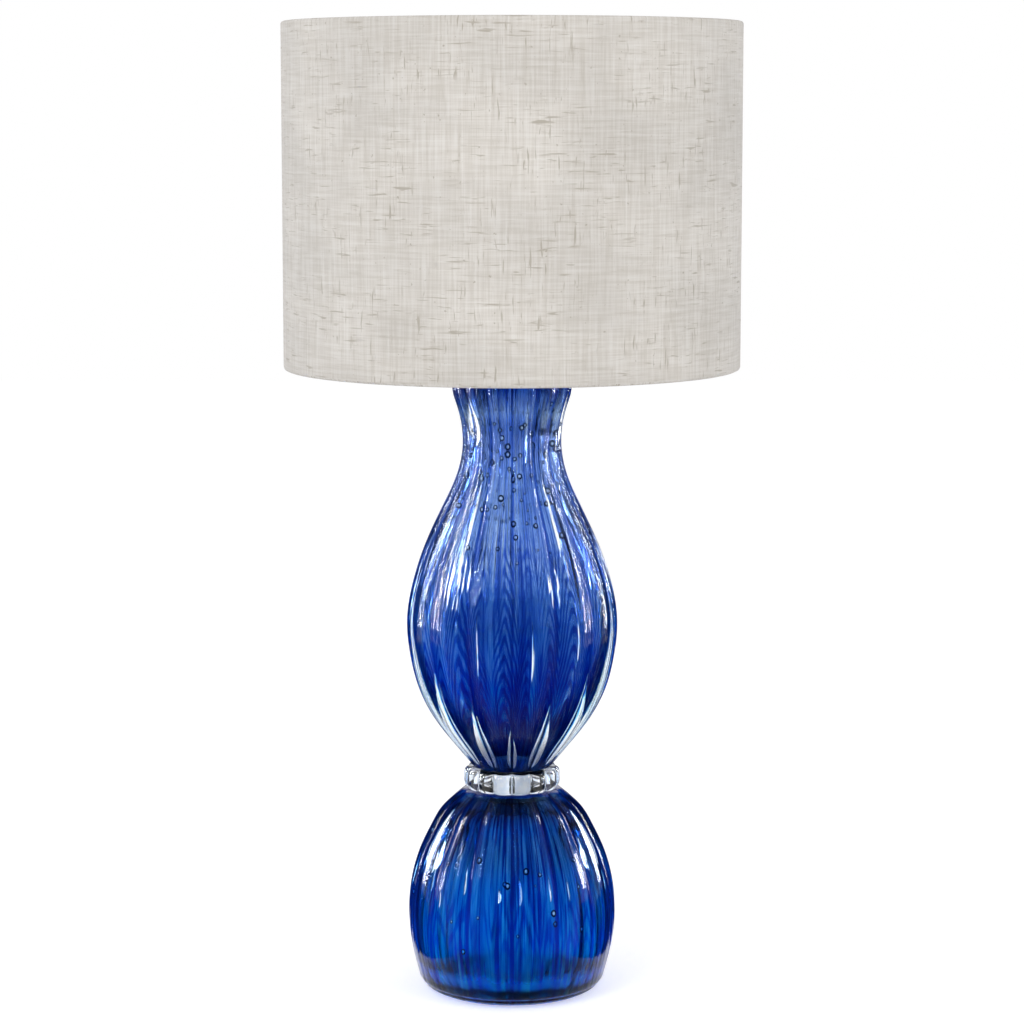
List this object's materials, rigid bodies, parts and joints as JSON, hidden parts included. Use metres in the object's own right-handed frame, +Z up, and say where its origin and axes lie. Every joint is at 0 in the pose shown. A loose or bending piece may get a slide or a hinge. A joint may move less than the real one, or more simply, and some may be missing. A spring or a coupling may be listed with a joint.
{
  "type": "table lamp",
  "caption": "Tall table lamp: two ribbed blown-glass forms joined by a scalloped crystal ring, under a straight linen drum shade on a harp.",
  "frame": {"origin": "centre of the foot, in the plane of the table", "axes": "+Z up the lamp's axis, -Y towards the front with the switch, +X to the right seen from the front"},
  "size_m": [0.4, 0.4, 0.859],
  "materials": {
    "felt": "wool felt",
    "zinc_steel": "zinc plated",
    "cork_gasket": "cork and rubber",
    "black_plastic": "moulded",
    "blue_glass": "blown, ribbed and cased",
    "clear_gasket": "clear silicone",
    "clear_crystal": "polished",
    "brushed_brass": "satin",
    "card_liner": "fibre card",
    "plain_aluminium": "drawn",
    "black_glass": "fused glass",
    "bulb_glass": "clear",
    "filament": "coated",
    "white_wire": "powder coated",
    "white_liner": "styrene sheet",
    "linen": "natural slub weave"
  },
  "bodies": {
    "base": {"foot_felt": "felt", "base_plate": "zinc_steel", "base_plate_gasket": "cork_gasket", "bottom_washer": "zinc_steel", "bottom_lock_washer": "zinc_steel", "bottom_nut": "zinc_steel", "cord_bushing": "black_plastic", "lower_glass_dome": "blue_glass", "lower_ring_gasket": "clear_gasket", "crystal_ring": "clear_crystal", "upper_ring_gasket": "clear_gasket", "upper_glass_vase": "blue_glass", "neck_gasket": "clear_gasket", "neck_cap": "brushed_brass", "cap_nut": "brushed_brass", "threaded_rod": "zinc_steel", "harp_saddle": "brushed_brass", "saddle_nut": "brushed_brass", "socket_cap": "brushed_brass", "socket_shell": "brushed_brass", "socket_insulator": "card_liner", "socket_body": "black_plastic", "terminal_screws": "brushed_brass", "screw_shell": "plain_aluminium", "centre_contact": "brushed_brass"},
    "switch": {"switch_stem": "brushed_brass", "switch_knob": "black_plastic"},
    "bulb": {"bulb_contact": "zinc_steel", "bulb_insulator": "black_glass", "bulb_cap": "plain_aluminium", "bulb_stem": "bulb_glass", "bulb_filaments": "filament", "bulb_glass": "bulb_glass"},
    "harp": {"harp_frame": "brushed_brass"},
    "left_sleeve": {"harp_sleeve_left": "brushed_brass"},
    "right_sleeve": {"harp_sleeve_right": "brushed_brass"},
    "swivel": {"harp_swivel": "brushed_brass"},
    "shade": {"spider_frame": "white_wire", "shade_bottom_ring": "white_wire", "shade_liner": "white_liner", "shade_fabric": "linen"},
    "finial": {"finial": "brushed_brass"}
  },
  "joints": [
    {"name": "switch_turn", "type": "hinge", "parent": "base", "child": "switch", "pos_m": [0, -0.02, 0.5923], "axis": [0, -1, 0], "continuous": true},
    {"name": "bulb_unscrew", "type": "slide", "parent": "base", "child": "bulb", "axis": [0, 0, 1], "range_m": [0, 0.028]},
    {"name": "harp_lift", "type": "slide", "parent": "base", "child": "harp", "axis": [0, 0, 1], "range_m": [0, 0.025]},
    {"name": "left_sleeve_lift", "type": "slide", "parent": "harp", "child": "left_sleeve", "axis": [0, 0, 1], "range_m": [0, 0.012]},
    {"name": "right_sleeve_lift", "type": "slide", "parent": "harp", "child": "right_sleeve", "axis": [0, 0, 1], "range_m": [0, 0.012]},
    {"name": "shade_turn", "type": "hinge", "parent": "harp", "child": "swivel", "pos_m": [0, 0, 0.8335], "axis": [0, 0, 1], "continuous": true},
    {"name": "shade_lift", "type": "slide", "parent": "swivel", "child": "shade", "axis": [0, 0, 1], "range_m": [0, 0.03]},
    {"name": "finial_turn", "type": "hinge", "parent": "shade", "child": "finial", "pos_m": [0, 0, 0.847], "axis": [0, 0, 1], "continuous": true}
  ]
}
